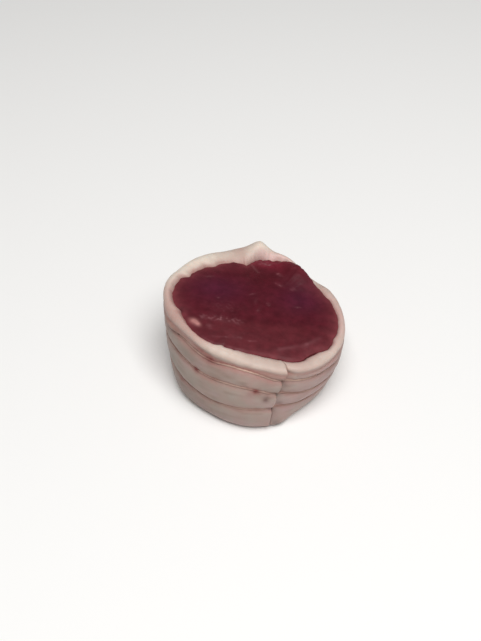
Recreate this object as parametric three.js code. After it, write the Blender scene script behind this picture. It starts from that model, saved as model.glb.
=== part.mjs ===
// Raw veal medallion, in millimetres, +Z up.
//
// A thick round is cut across a lean muscle. One strip of barding fat runs round its side and
// meets itself in a slanting butt seam. Three turns of thin string bind it, and each lies in
// the groove that it presses. The round is cut thicker on one side, so its face falls towards
// +X. The origin is in the middle of the whole box, on the flat underside.
//
// The round is worked out in polar form about its own axis. Angles are in degrees from +X and
// turn towards +Y. A share is a height divided by the height of the rim at that angle.

import * as THREE from 'three';

// ---- Driving dimensions ----

// Where the round's own axis stands, from the origin.
const AXIS = { x: 0.19, y: 0.61 };

// The cut face: its height at the axis, and its fall for each millimetre towards +X.
const CUT_HEIGHT = 34.5;
const CUT_FALL = 0.14;

// Radii of the wrapped wall every 30 degrees: at the rim, halfway up, and at the foot.
const RIM_RADII = [36.1, 34.5, 35.2, 36.4, 35.3, 36.2, 36.6, 31.7, 30.5, 31.8, 36.7, 38.2];
const MIDDLE_RADII = [34.9, 34.0, 34.0, 34.7, 35.7, 36.4, 35.9, 35.2, 35.5, 37.1, 37.2, 36.7];
const FOOT_RADII = [29.2, 29.3, 29.7, 30.4, 31.2, 32.1, 33.2, 34.4, 34.4, 36.8, 33.0, 30.2];

// The foot is rounded inwards over the lowest share of the wall.
const FOOT_ROUND = 2.0;
const FOOT_ROUND_SHARE = 0.12;

// Radii of the fat's inner face at the cut, every 15 degrees: the outline of the lean.
const FACE_RADII = [
  34.2, 32.6, 30.8, 32.0, 33.0, 31.2, 28.4, 28.0, 28.8, 29.6, 31.4, 34.0,
  32.6, 30.2, 29.4, 28.0, 26.6, 25.5, 25.8, 27.8, 31.4, 32.2, 33.8, 34.6,
];

// A tip of fat is pulled up and out at the back, and the rim dips where the lean swells over it.
const TIP = { at: 85, width: 8, up: 3.6, out: 1.4, from: 0.72 };
const DIP = { at: 48, width: 17, down: 2.6 };

// The strip of fat: its thickness low down, and the rolled rim above a crease.
const FAT_THICKNESS = 3.6;
const INNER_FACE_SHARES = { from: 0.5, to: 0.95 };
const RIM_BAND = 3.3;
const RIM_CREST = 0.4;
const RIM_INNER_DROP = 2.6;
const RIM_STEP = 0.6;
const CREASE_DEPTH = 0.5;

// Three turns of string: their heights every 30 degrees, from the lowest up.
const STRING_HEIGHTS = [
  [10.5, 11.0, 11.5, 12.0, 12.5, 13.0, 13.2, 12.5, 11.8, 13.9, 11.3, 10.3],
  [14.5, 15.5, 17.0, 19.5, 21.5, 22.5, 23.3, 25.2, 23.7, 23.6, 18.6, 15.3],
  [22.0, 21.5, 23.0, 27.0, 29.0, 30.0, 30.5, 32.8, 31.0, 29.4, 26.0, 21.5],
];
const STRING_DIAMETER = 0.7;
const STRING_GAP = 0.4;
const GROOVE_DEPTH = 1.1;
const GROOVE_HALF_WIDTH = 0.8;
const GROOVE_LIP = 0.25;
const BAND_SWELL = 0.3;

// The butt seam leans from its foot to the rim. One end stands proud, and the other lies lower.
const SEAM = { foot: 279, lean: 10.5, bend: 2, gap: 0.4 };
const SEAM_PROUD = { out: 0.7, width: 14 };
const SEAM_SUNK = { in: 0.8, width: 16 };

// The lean: its clearance, and the form of its face.
const MEAT_GAP = 0.3;
const EDGE_DROP = 1.5;
const EDGE_ROUND = 0.9;
const EDGE_ROUND_FROM = 0.93;
const FACE_DOME = 1.6;
const BACK_SWELL = { at: 52, width: 26, up: 2.8, from: 0.55 };
const FLECK = { at: 207, out: 26.4, long: 4.4, wide: 2.4, up: 0.7, turn: -40 };

// How finely the surfaces are divided.
const STEPS_ROUND = 72;
const INNER_ROWS = [0, 0.25, 0.5, 0.7, 0.85, 1];
const STRING_SIDES = 8;
const FACE_RINGS = 12;

// ---- Curves ----

const radians = THREE.MathUtils.degToRad;
const { clamp, lerp, smoothstep } = THREE.MathUtils;

// A smooth closed curve through equally spaced values, read at an angle.
function around(values, angle) {
  const count = values.length;
  const place = THREE.MathUtils.euclideanModulo((angle / 360) * count, count);
  const index = Math.floor(place);
  const f = place - index;
  const [a, b, c, d] = [-1, 0, 1, 2].map((step) => values[(index + step + count) % count]);
  const cubic = 3 * (b - c) + d - a;
  const square = 2 * a - 5 * b + 4 * c - d;
  return b + 0.5 * f * (c - a + f * (square + f * cubic));
}

// The angle from one direction to another, between -180 and 180.
function angleFrom(start, angle) {
  return THREE.MathUtils.euclideanModulo(angle - start + 180, 360) - 180;
}

// A smooth hill of height 1 about an angle.
function hill(angle, { at, width }) {
  return Math.exp(-((angleFrom(at, angle) / width) ** 2));
}

// ---- The wrapped wall ----

function cutHeight(x) {
  return CUT_HEIGHT - CUT_FALL * x;
}

// The height of the rim without its tip.
function plainRimHeight(angle) {
  const x = around(RIM_RADII, angle) * Math.cos(radians(angle));
  return cutHeight(x) - DIP.down * hill(angle, DIP);
}

function rimHeight(angle) {
  return plainRimHeight(angle) + TIP.up * hill(angle, TIP);
}

// The outside of the wrap without its grooves: a parabola through foot, middle and rim.
function wallRadius(angle, height) {
  const share = height / rimHeight(angle);
  const foot = around(FOOT_RADII, angle) * (1 - share) * (1 - 2 * share);
  const middle = around(MIDDLE_RADII, angle) * 4 * share * (1 - share);
  const rim = around(RIM_RADII, angle) * share * (2 * share - 1);
  const rounding = FOOT_ROUND * Math.max(0, 1 - share / FOOT_ROUND_SHARE) ** 2;
  const tip = TIP.out * hill(angle, TIP) * smoothstep(share, TIP.from, 1);
  return foot + middle + rim - rounding + tip;
}

// The inside of the wrap: even in thickness low down, and on the lean's outline at the cut.
function innerRadius(angle, height) {
  const share = height / rimHeight(angle);
  const blend = smoothstep(share, INNER_FACE_SHARES.from, INNER_FACE_SHARES.to);
  return lerp(wallRadius(angle, height) - FAT_THICKNESS, around(FACE_RADII, angle), blend);
}

// The inside as [radius, height] rows from the foot up to where the rim curls over.
function innerRows(angle) {
  const top = plainRimHeight(angle) - RIM_INNER_DROP;
  return INNER_ROWS.map((row) => [innerRadius(angle, row * top), row * top]);
}

function seamAngle(share) {
  return SEAM.foot + SEAM.lean * clamp(share, 0, 1) ** SEAM.bend;
}

// How far the ends of the strip stand out or lie back beside the seam.
function seamStep(angle, share) {
  const past = angleFrom(seamAngle(share), angle);
  if (past < 0) return SEAM_PROUD.out * Math.exp(past / SEAM_PROUD.width);
  return -SEAM_SUNK.in * Math.exp(-past / SEAM_SUNK.width);
}

// ---- The strip of fat ----

// Evenly spaced numbers between two ends, without the ends themselves.
function between(low, high, count) {
  return Array.from({ length: count }, (_, i) => lerp(low, high, (i + 1) / (count + 1)));
}

// One cut through the strip at an angle, as [radius, height] points that run up the outside,
// over the rolled rim and down the inside.
function wrapSection(angle) {
  const top = rimHeight(angle);
  const crease = top - RIM_BAND;
  const points = [0, 0.03, 0.07].map((share) => [wallRadius(angle, share * top), share * top]);
  const surface = (height, depth, swell) => {
    const step = swell * seamStep(angle, height / top);
    points.push([wallRadius(angle, height) - depth + swell * BAND_SWELL + step, height]);
  };

  let below = 0.07 * top;
  for (const heights of STRING_HEIGHTS) {
    const height = around(heights, angle);
    for (const level of between(below, height - GROOVE_HALF_WIDTH, 3)) surface(level, 0, 1);
    surface(height - GROOVE_HALF_WIDTH, GROOVE_LIP, 0.5);
    surface(height, GROOVE_DEPTH, 0);
    surface(height + GROOVE_HALF_WIDTH, GROOVE_LIP, 0.5);
    below = height + GROOVE_HALF_WIDTH;
  }
  surface(crease, CREASE_DEPTH, 0.5);

  const inside = innerRows(angle).reverse();
  const [inner, innerTop] = inside[0];
  const step = RIM_STEP * seamStep(angle, 1);
  const outer = wallRadius(angle, crease) + step;
  const crest = lerp(wallRadius(angle, top) + step, inner, RIM_CREST);
  for (const turn of [15, 40, 65, 90]) {
    const out = crest + (outer - crest) * Math.cos(radians(turn));
    points.push([out, crease + RIM_BAND * Math.sin(radians(turn))]);
  }
  for (const turn of [65, 40, 15]) {
    const out = crest - (crest - inner) * Math.cos(radians(turn));
    points.push([out, innerTop + (top - innerTop) * Math.sin(radians(turn))]);
  }
  return [...points, ...inside];
}

// ---- Closed solids from rings of points ----

function onAxis([radius, height], angle) {
  const turn = radians(angle);
  return new THREE.Vector3(radius * Math.cos(turn), radius * Math.sin(turn), height);
}

// A closed solid from rings that each hold the same number of points. Where the rings aren't
// joined into a loop, the first and the last get a flat cap, given its triangles.
function solidFromRings(rings, capTriangles) {
  const size = rings[0].length;
  const spans = capTriangles ? rings.length - 1 : rings.length;
  const index = [];
  for (let ring = 0; ring < spans; ring += 1) {
    const here = ring * size;
    const next = ((ring + 1) % rings.length) * size;
    for (let i = 0; i < size; i += 1) {
      const j = (i + 1) % size;
      index.push(here + i, here + j, next + j, here + i, next + j, next + i);
    }
  }
  if (capTriangles) {
    const last = (rings.length - 1) * size;
    for (const [a, b, c] of capTriangles(rings[0])) index.push(c, b, a);
    for (const [a, b, c] of capTriangles(rings.at(-1))) index.push(last + a, last + b, last + c);
  }
  const geometry = new THREE.BufferGeometry();
  geometry.setFromPoints(rings.flat());
  geometry.setIndex(index);
  geometry.computeVertexNormals();
  return geometry;
}

// Triangles of a flat outline, counter-clockwise in the plane that flatten picks.
function triangulate(flatten) {
  return (ring) => THREE.ShapeUtils.triangulateShape(ring.map(flatten), []);
}

// ---- Pieces ----

// The strip runs once round the lean, clockwise. Its grid leans with the seam, so both ends do.
function wrapGeometry() {
  const shares = wrapSection(seamAngle(0.5)).map(([, height]) => height / rimHeight(seamAngle(0.5)));
  const endGap = (SEAM.gap / 2 / around(MIDDLE_RADII, SEAM.foot)) * THREE.MathUtils.RAD2DEG;
  const rings = [];
  for (let step = 0; step <= STEPS_ROUND; step += 1) {
    const turn = lerp(360 - endGap, endGap, step / STEPS_ROUND);
    rings.push(shares.map((share, row) => {
      const angle = seamAngle(share) + turn;
      return onAxis(wrapSection(angle)[row], angle);
    }));
  }
  const flatten = (point) => new THREE.Vector2(Math.hypot(point.x, point.y), point.z);
  return solidFromRings(rings, triangulate(flatten));
}

// One turn of string in the bottom of its groove, clockwise.
function stringGeometry(heights) {
  const rings = [];
  for (let step = 0; step < STEPS_ROUND; step += 1) {
    const angle = (-step / STEPS_ROUND) * 360;
    const height = around(heights, angle);
    const middle = wallRadius(angle, height) - GROOVE_DEPTH + STRING_GAP + STRING_DIAMETER / 2;
    const ring = [];
    for (let side = 0; side < STRING_SIDES; side += 1) {
      const turn = (side / STRING_SIDES) * Math.PI * 2;
      const out = middle + (STRING_DIAMETER / 2) * Math.cos(turn);
      const up = height + (STRING_DIAMETER / 2) * Math.sin(turn);
      ring.push(onAxis([out, up], angle));
    }
    rings.push(ring);
  }
  return solidFromRings(rings, null);
}

// The height of the cut face of the lean at an angle and a share of the way out to its edge.
function faceHeight(angle, out) {
  const radius = out * (around(FACE_RADII, angle) - MEAT_GAP);
  const x = radius * Math.cos(radians(angle));
  const y = radius * Math.sin(radians(angle));
  const dome = FACE_DOME * (1 - out * out);
  const rounding = EDGE_ROUND * Math.max(0, (out - EDGE_ROUND_FROM) / (1 - EDGE_ROUND_FROM)) ** 2;
  const swell = BACK_SWELL.up * hill(angle, BACK_SWELL) * smoothstep(out, BACK_SWELL.from, 1);
  return cutHeight(x) - EDGE_DROP + dome - rounding + swell + fleckHeight(x, y);
}

// A fleck of fat stands up from the face as a low oval hill.
function fleckHeight(x, y) {
  const along = new THREE.Vector2(x, y);
  along.x -= FLECK.out * Math.cos(radians(FLECK.at));
  along.y -= FLECK.out * Math.sin(radians(FLECK.at));
  along.rotateAround(new THREE.Vector2(), -radians(FLECK.turn));
  const reach = (2 * along.x / FLECK.long) ** 2 + (2 * along.y / FLECK.wide) ** 2;
  return FLECK.up * Math.exp(-reach);
}

function meatGeometry() {
  const angles = Array.from({ length: STEPS_ROUND }, (_, step) => (step / STEPS_ROUND) * 360);
  const side = INNER_ROWS.map((_, row) => angles.map((angle) => {
    const [radius, height] = innerRows(angle)[row];
    return onAxis([radius - MEAT_GAP, height], angle);
  }));
  const outs = [1, 0.985, 0.96, ...between(EDGE_ROUND_FROM, 0, FACE_RINGS)];
  const face = outs.map((out) => angles.map((angle) => {
    const radius = out * (around(FACE_RADII, angle) - MEAT_GAP);
    return onAxis([radius, faceHeight(angle, out)], angle);
  }));
  const flatten = (point) => new THREE.Vector2(point.x, point.y);
  return solidFromRings([...side, ...face], triangulate(flatten));
}

// ---- The object ----

const LEAN = { color: 0x5e2930, roughness: 0.45, metalness: 0 };
const FAT = { color: 0xd6c6bb, roughness: 0.5, metalness: 0 };
const STRING = { color: 0xc4a294, roughness: 0.85, metalness: 0 };

function piece(name, geometry, finish) {
  const mesh = new THREE.Mesh(geometry, new THREE.MeshStandardMaterial(finish));
  mesh.name = name;
  return mesh;
}

const medallion = new THREE.Group();
medallion.position.set(AXIS.x, AXIS.y, 0);
medallion.add(piece('meat', meatGeometry(), LEAN));
medallion.add(piece('fat_wrap', wrapGeometry(), FAT));
STRING_HEIGHTS.forEach((heights, turn) => {
  medallion.add(piece(`string_${turn + 1}`, stringGeometry(heights), STRING));
});

export default medallion;
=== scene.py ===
# Raw veal medallion: a thick round of lean veal, wrapped round its side in one strip of barding
# fat and bound with three turns of thin string. Shapes are worked out in millimetres, in polar
# form about the round's own axis: angles in degrees from +X towards +Y, heights above the
# underside, and shares, which are heights divided by the height of the rim at that angle.

import bpy
import numpy as np
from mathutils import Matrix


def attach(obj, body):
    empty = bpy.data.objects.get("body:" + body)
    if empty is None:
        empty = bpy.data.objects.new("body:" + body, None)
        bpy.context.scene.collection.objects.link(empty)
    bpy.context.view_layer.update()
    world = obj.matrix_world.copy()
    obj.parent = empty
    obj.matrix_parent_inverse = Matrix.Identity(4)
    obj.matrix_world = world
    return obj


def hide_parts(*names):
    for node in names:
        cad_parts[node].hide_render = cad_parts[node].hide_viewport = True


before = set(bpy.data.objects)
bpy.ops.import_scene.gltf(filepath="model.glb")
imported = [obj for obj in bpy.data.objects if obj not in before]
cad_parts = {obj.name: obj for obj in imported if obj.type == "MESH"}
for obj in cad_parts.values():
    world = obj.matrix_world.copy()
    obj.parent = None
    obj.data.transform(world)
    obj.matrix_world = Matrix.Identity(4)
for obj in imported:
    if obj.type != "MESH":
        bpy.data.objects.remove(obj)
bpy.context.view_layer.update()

# ---------------------------------------------------------------------------------------------
# The lean. A round cut straight across a veal muscle, so its face shows the ends of the fibre
# bundles. It is moist and dark, redder at the edge, and the tight wrap makes the face swell.
# ---------------------------------------------------------------------------------------------

MM = 0.001
AXIS = (0.19, 0.61)
# The cut slopes: its height over the axis, and how much it falls for each millimetre along X.
CUT_HEIGHT = 34.5
CUT_FALL = 0.14
# Radii of the wrap at equal turns, from angle 0: at its rim, halfway up and at its foot.
RIM_RADII = [36.1, 34.5, 35.2, 36.4, 35.3, 36.2, 36.3, 31.7, 30.5, 31.8, 36.7, 38.2]
MIDDLE_RADII = [34.9, 34.0, 34.0, 34.7, 35.7, 36.4, 35.9, 35.5, 35.5, 37.1, 37.2, 36.9]
FOOT_RADII = [28.7, 28.8, 29.2, 29.9, 30.7, 31.6, 32.7, 34.1, 33.9, 35.8, 32.1, 30.6]
FOOT_ROUND = 1.4
FOOT_ROUND_SHARE = 0.12
# Radii of the lean's outline at the cut, at equal turns.
FACE_RADII = [33.5, 31.8, 30.0, 30.6, 32.0, 31.1, 28.6, 28.0, 28.5, 29.8, 31.0, 33.1,
              32.6, 29.6, 29.3, 28.7, 26.4, 25.0, 25.2, 27.3, 31.2, 31.6, 34.2, 34.3]
# Where the fat bites into the outline of the lean, and where the lean spreads over the fat with
# a negative depth: angle, half width in degrees and depth in mm.
FACE_NOTCHES = [(46, 5.0, 0.6), (60.5, 3.4, -0.9), (85, 3.0, -0.7), (96.5, 7.0, 1.9),
                (126, 3.6, 1.0), (151, 3.0, 1.0), (155.5, 3.4, -0.8), (191, 2.5, 0.3),
                (235, 2.5, -0.45), (241, 2.2, 0.6), (290, 3.0, 0.6), (319.5, 2.2, 0.35),
                (325.5, 2.6, -0.6), (337, 3.2, 0.8)]
# The fine raggedness of the outline: depth in mm, what is added to it where the edge is torn,
# size in degrees, and seed.
TORN_EDGE = dict(at=62, width=38)
RAGGED = [(0.16, 0.42, 3.6, 7), (0.05, 0.2, 1.8, 8)]
# The corner of the wrap that is pulled up and out at the back.
TIP_AT, TIP_WIDTH_BEFORE, TIP_WIDTH_AFTER, TIP_SHARPNESS = 85.5, 6.6, 7.9, 1.75
TIP_UP, TIP_OUT, TIP_FROM = 3.6, 1.4, 0.72
# Slight waves of the rim: angle, half width in degrees, height in mm.
RIM_WAVES = [(36, 9, -0.5), (66, 8, 0.7), (112, 9, -1.0), (146, 12, -0.9)]
# The rim dips where the lean swells over it.
DIP = dict(at=46, width=15)
DIP_DOWN = 3.3
FAT_THICKNESS = 3.6
# The shares of the height between which the inside of the wrap meets the lean's outline.
INNER_FROM, INNER_TO = 0.5, 0.95
RIM_INNER_DROP = 2.6
# On the right the lean stands higher in the wrap, and the inside of the rim is shallower.
HIGH_SIDE = dict(at=2, width=34)
EDGE_LIFT, INNER_LIFT = 0.9, 1.4

# The face: its edge is this far below the plain cut and rounded, its middle is domed, and it
# swells over the rim at the back.
EDGE_DROP, EDGE_ROUND, EDGE_ROUND_FROM = 1.4, 0.6, 0.94
FACE_DOME = 1.6
SWELL = dict(at=49, width=16)
SWELL_UP, SWELL_FROM, SWELL_BULGE = 3.8, 0.55, 0.12
# Unevenness of the face, and of its torn part: height, size and seed.
FACE_NOISE = [(0.30, 11, 1), (0.12, 4, 2), (0.04, 1.4, 3)]
TORN_FACE = dict(at=72, width=34)
TORN_FROM, TORN_FULL = 0.80, 0.97
TORN_NOISE = [(0.5, 2.1, 4), (0.22, 1.0, 5)]
# Lines in the face from point to point: the step the knife left, a low ridge, and a sinew.
LEDGE = [((-20.6, -8.9), (-13.5, -9.5)), ((-13.5, -9.5), (-5.6, -10.4))]
LEDGE_UP, LEDGE_HALF_WIDTH, LEDGE_MARK_HALF_WIDTH = 0.12, 1.3, 1.2
RIDGE = [((9.4, -22.4), (20.2, -18.8)), ((20.2, -18.8), (26.2, -14.3))]
RIDGE_UP, RIDGE_HALF_WIDTH, RIDGE_MARK_HALF_WIDTH = 0.18, 1.4, 0.9
SINEW = ((-1.0, 26.0), (1.8, 20.6), 0.5)
SINEW_DOWN = 0.22
# Oval marks in the face: middle, half length, half width, turn and strength. First the fleck of
# fat, then smaller ends of fat and sinew that lie in the cut with painted glints among them, and
# then tints of the lean and painted shade.
FLECKS = [((-24.0, -11.4), 2.1, 1.5, -35, 1), ((-22.4, -12.9), 1.5, 1.0, -35, 1)]
FLECK_UP = 0.45
# The specks that lie 26 to 28 mm behind the axis are painted glints on the wet, torn lean, and so
# is the one at (-17.9, -13.5) beside the fleck; the rest are pale ends of fat and sinew.
SPECKS_AND_GLINTS = [((10.5, 20.1), 1.5, 0.8, -40, 0.6), ((10.4, 13.9), 1.5, 0.8, -30, 0.55),
          ((16.1, 11.9), 1.1, 0.7, 0, 0.7), ((5.6, 1.3), 0.7, 0.9, 0, 0.6),
          ((17.4, 1.4), 1.3, 0.4, 0, 0.7), ((-0.6, 6.0), 1.5, 0.4, 30, 0.5),
          ((-17.9, -13.5), 0.9, 1.2, 20, 1.0), ((-18.5, 15.2), 1.6, 0.6, 5, 0.8),
          ((-13.0, -18.5), 3.6, 0.4, 4, 0.5), ((-1.2, -19.3), 1.4, 0.4, 0, 0.7),
          ((-5.8, -18.2), 0.8, 0.6, 0, 0.6), ((-14.6, 2.4), 0.8, 0.6, 0, 0.4),
          ((4.1, 26.6), 0.9, 0.5, 0, 1.0), ((6.3, 26.0), 0.7, 0.5, 0, 0.9),
          ((1.6, 27.9), 0.9, 0.4, 10, 0.8), ((9.0, 27.2), 0.9, 0.4, 0, 0.6),
          ((4.8, 26.8), 2.8, 1.3, -8, 0.8), ((-12.0, -3.5), 5.0, 3.5, 0, 0.18),
          ((0.5, 2.0), 1.4, 0.6, 80, 0.35), ((1.6, -2.5), 2.0, 0.7, 70, 0.3)]
VIOLET = [((-15, 8), 12, 8, 0, 1), ((19, 6), 9, 8, 0, 1), ((26, 18), 5, 3.5, -50, 1)]
CRIMSON = [((6, 27), 9, 3.5, -10, 1), ((22, 21), 7, 3, -50, 0.35)]
# These darken the lean: painted shade in the recess where it meets the fat at the left edge, and a
# fainter dark spot near the middle.
SHADE = [((-29.5, -5.8), 1.5, 1.5, 0, 0.5), ((9, -3), 2, 2, 0, 0.3)]
# The painted sheen on the damp front of the face, a greyer brown that stands for a reflection, by
# how far it lies before the axis and how far from it.
SHEEN_PAINT_FROM, SHEEN_PAINT_FULL = 7, 13
SHEEN_PAINT_LESS_FROM, SHEEN_PAINT_LEAST = 20, 30
# The red edge fades inwards over this length, and it is weaker here: angle, half width, part.
EDGE_FADE = 2.4
EDGE_WEAKER = [(240, 42, 0.75), (48, 16, 0.5)]
# Marks belong to the upper face, so they end between these heights and the lower face is plain.
MARKS_FROM, MARKS_FULL = 5, 15
# The lean is pressed this far into the fat, so no gap shows between them.
PRESSED = 0.1
LEAN_STEPS_ROUND = 360
FLOOR_ROWS, LEAN_SIDE_ROWS, BRIM_ROWS, FACE_ROWS = 20, 26, 11, 190
FACE_ROWS_CROWD = 1.12
BRIM_LUMP, BRIM_LUMP_SIZE, BRIM_ARC, BRIM_RISE_LIMIT = 0.22, 1.7, 0.55, 3


def around(values, angle):
    """A smooth closed curve through equally spaced values, read at an angle: each stretch is
    the Catmull-Rom cubic of the two values beside it and the two beyond."""
    values = np.asarray(values, float)
    place = np.asarray(angle) / 360 * len(values)
    index = np.floor(place).astype(int)
    f = place - index
    a, b, c, d = (values[(index + step) % len(values)] for step in (-1, 0, 1, 2))
    return b + 0.5 * f * (c - a + f * (2 * a - 5 * b + 4 * c - d + f * (3 * (b - c) + d - a)))


def angle_from(start, angle):
    """The turn from one direction to another, between -180 and 180 degrees."""
    return (np.asarray(angle) - start + 180) % 360 - 180


def hill(angle, at, width):
    """exp(-(turn / width)^2): a smooth hill of height 1 about an angle."""
    return np.exp(-(angle_from(at, angle) / width) ** 2)


def smooth(value, low, high):
    """3 f^2 - 2 f^3, where f runs from 0 at low to 1 at high."""
    f = np.clip((np.asarray(value) - low) / (high - low), 0, 1)
    return f * f * (3 - 2 * f)


def soft_noise(x, y, size, seed, closed=0):
    """Smooth noise between -1 and 1: random values on a square lattice of the given size, from
    a seeded draw, blended between their four neighbours with 3 f^2 - 2 f^3. With a closed
    length given, the lattice is fitted to it and x repeats after it."""
    lattice = np.random.default_rng(seed).uniform(-1, 1, (256, 256))
    cells = round(closed / size) if closed else 256
    column, row = np.asarray(x) / (closed / cells if closed else size), np.asarray(y) / size
    i, j = np.floor(column).astype(int), np.floor(row).astype(int)
    u, v = smooth(column - i, 0, 1), smooth(row - j, 0, 1)
    corner = [lattice[(i + di) % cells, (j + dj) % 256] for di in (0, 1) for dj in (0, 1)]
    return ((corner[0] * (1 - v) + corner[1] * v) * (1 - u)
            + (corner[2] * (1 - v) + corner[3] * v) * u)


def face_radius(angle):
    """The outline of the lean at the cut: the smooth curve of its radii less its notches, with
    a fine unevenness that is strongest where the face is torn at the back."""
    radius = around(FACE_RADII, angle) - sum(depth * hill(angle, at, width)
                                             for at, width, depth in FACE_NOTCHES)
    torn = hill(angle, **TORN_EDGE)
    for depth, more, size, seed in RAGGED:
        noise = soft_noise(angle, 0 * angle, size, seed, closed=360)
        radius = radius + (depth + more * torn) * noise
    return radius


def cut_height(x):
    """The knife's plane, which falls evenly along X."""
    return CUT_HEIGHT - CUT_FALL * x


def plain_rim_height(angle):
    """The sloping cut over the wall, lowered where the lean swells over the rim."""
    x = around(RIM_RADII, angle) * np.cos(np.radians(angle))
    return cut_height(x) - DIP_DOWN * hill(angle, **DIP)


def tip(angle):
    """exp(-(turn / width)^sharpness): the tip of the rim, with a width for each side."""
    turn = angle_from(TIP_AT, angle)
    width = np.where(turn < 0, TIP_WIDTH_BEFORE, TIP_WIDTH_AFTER)
    return np.exp(-np.abs(turn / width) ** TIP_SHARPNESS)


def rim_height(angle):
    """The plain rim, with its tip and its slight waves added."""
    waves = sum(up * hill(angle, at, width) for at, width, up in RIM_WAVES)
    return plain_rim_height(angle) + TIP_UP * tip(angle) + waves


def wall_radius(angle, height):
    """The outside of the wrap without its relief: a parabola in the share of the height through
    the foot, middle and rim radii, rounded in at the foot and drawn out at the tip."""
    share = height / rim_height(angle)
    foot = around(FOOT_RADII, angle) * (1 - share) * (1 - 2 * share)
    middle = around(MIDDLE_RADII, angle) * 4 * share * (1 - share)
    rim = around(RIM_RADII, angle) * share * (2 * share - 1)
    rounding = FOOT_ROUND * np.maximum(0, 1 - share / FOOT_ROUND_SHARE) ** 2
    return foot + middle + rim - rounding + TIP_OUT * tip(angle) * smooth(share, TIP_FROM, 1)


def inner_radius(angle, height):
    """The inside of the wrap: one thickness within the wall, blending to the lean's outline."""
    blend = smooth(height / rim_height(angle), INNER_FROM, INNER_TO)
    low = wall_radius(angle, height) - FAT_THICKNESS
    return low * (1 - blend) + face_radius(angle) * blend


def inner_top(angle):
    """The height at which the inside of the rim meets the lean."""
    return plain_rim_height(angle) - RIM_INNER_DROP + INNER_LIFT * hill(angle, **HIGH_SIDE)


def near_line(x, y, start, end, half_width):
    """exp(-(distance to the line / half_width)^2), with the line from start to end."""
    run = np.subtract(end, start)
    along = ((x - start[0]) * run[0] + (y - start[1]) * run[1]) / (run @ run)
    along = np.clip(along, 0, 1)
    away = (x - start[0] - along * run[0]) ** 2 + (y - start[1] - along * run[1]) ** 2
    return np.exp(-away / half_width ** 2)


def near_spot(x, y, middle, half_long, half_wide, turn):
    """exp(-(reach)^2), where reach is 1 on an oval that is turned by some degrees."""
    c, s = np.cos(np.radians(turn)), np.sin(np.radians(turn))
    along = (x - middle[0]) * c + (y - middle[1]) * s
    across = (y - middle[1]) * c - (x - middle[0]) * s
    return np.exp(-(along / half_long) ** 2 - (across / half_wide) ** 2)


def face_spots(x, y, spots):
    """The sum of strength times near_spot of each oval mark in the face."""
    return sum(strength * near_spot(x, y, *oval) for *oval, strength in spots)


def face_lines(x, y, lines, half_width):
    """The sum of near_line over the pieces of a broken line in the face."""
    return sum(near_line(x, y, *line, half_width) for line in lines)


def face_height(angle, out):
    """The cut face, out being 0 at its middle and 1 at its edge: the sloping cut, domed by
    1 - out^2, rounded at its edge and swollen at the back, with soft dents, fibre bundles, the
    ledge, the ridge, the fleck and the sinew added."""
    radius = out * face_radius(angle)
    x, y = radius * np.cos(np.radians(angle)), radius * np.sin(np.radians(angle))
    rounding = EDGE_ROUND * np.maximum(0, (out - EDGE_ROUND_FROM) / (1 - EDGE_ROUND_FROM)) ** 2
    height = cut_height(x) - EDGE_DROP + FACE_DOME * (1 - out ** 2) - rounding
    lift = SWELL_UP * hill(angle, **SWELL) + EDGE_LIFT * hill(angle, **HIGH_SIDE)
    height = height + lift * smooth(out, SWELL_FROM, 1)
    for up, size, seed in FACE_NOISE:
        height = height + up * soft_noise(x, y, size, seed)
    torn = hill(angle, **TORN_FACE) * smooth(out, TORN_FROM, TORN_FULL)
    height = height + torn * sum(up * soft_noise(x, y, size, seed) for up, size, seed in TORN_NOISE)
    height = height + LEDGE_UP * face_lines(x, y, LEDGE, LEDGE_HALF_WIDTH)
    height = height + RIDGE_UP * face_lines(x, y, RIDGE, RIDGE_HALF_WIDTH)
    height = height + FLECK_UP * face_spots(x, y, FLECKS)
    return height - SINEW_DOWN * near_line(x, y, *SINEW)


def polar_to_metres(radius, angle, height):
    """Points in the frame, in metres, from the round's own polar form in millimetres."""
    x = AXIS[0] + radius * np.cos(np.radians(angle))
    y = AXIS[1] + radius * np.sin(np.radians(angle))
    return np.stack(np.broadcast_arrays(x, y, height), -1) * MM


def build_mesh(name, points, faces, attributes, material):
    """A mesh object at the origin from arrays, shaded smooth, with one float attribute for each
    named array. faces is a list of arrays of corner indices."""
    sizes = np.concatenate([np.full(len(a), a.shape[1]) for a in faces])
    corners = np.concatenate([a.ravel() for a in faces])
    mesh = bpy.data.meshes.new(name)
    mesh.vertices.add(len(points))
    mesh.vertices.foreach_set("co", np.ascontiguousarray(points, np.float32).ravel())
    mesh.loops.add(len(corners))
    mesh.loops.foreach_set("vertex_index", corners.astype(np.int32))
    mesh.polygons.add(len(sizes))
    mesh.polygons.foreach_set("loop_start", (np.cumsum(sizes) - sizes).astype(np.int32))
    mesh.polygons.foreach_set("use_smooth", np.ones(len(sizes), bool))
    mesh.update(calc_edges=True)
    mesh.validate()
    for label, values in attributes.items():
        layer = mesh.attributes.new(label, "FLOAT", "POINT")
        layer.data.foreach_set("value", np.ascontiguousarray(values, np.float32).ravel())
    mesh.materials.append(material)
    piece = bpy.data.objects.new(name, mesh)
    bpy.context.collection.objects.link(piece)
    return piece


def ring_quads(rings, size, loop=False):
    """Quads between rings of size points each, joined round, and end to end where loop."""
    last = rings if loop else rings - 1
    ring, side = np.meshgrid(np.arange(last), np.arange(size), indexing="ij")
    after, beside = (ring + 1) % rings, (side + 1) % size
    corners = [ring * size + side, ring * size + beside, after * size + beside, after * size + side]
    return np.stack([c.ravel() for c in corners], -1)


def linear(code):
    """A shader colour from an sRGB hex value."""
    channels = [int(code[i:i + 2], 16) / 255 for i in (1, 3, 5)]
    return [c / 12.92 if c <= 0.04045 else ((c + 0.055) / 1.055) ** 2.4 for c in channels] + [1.0]


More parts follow.
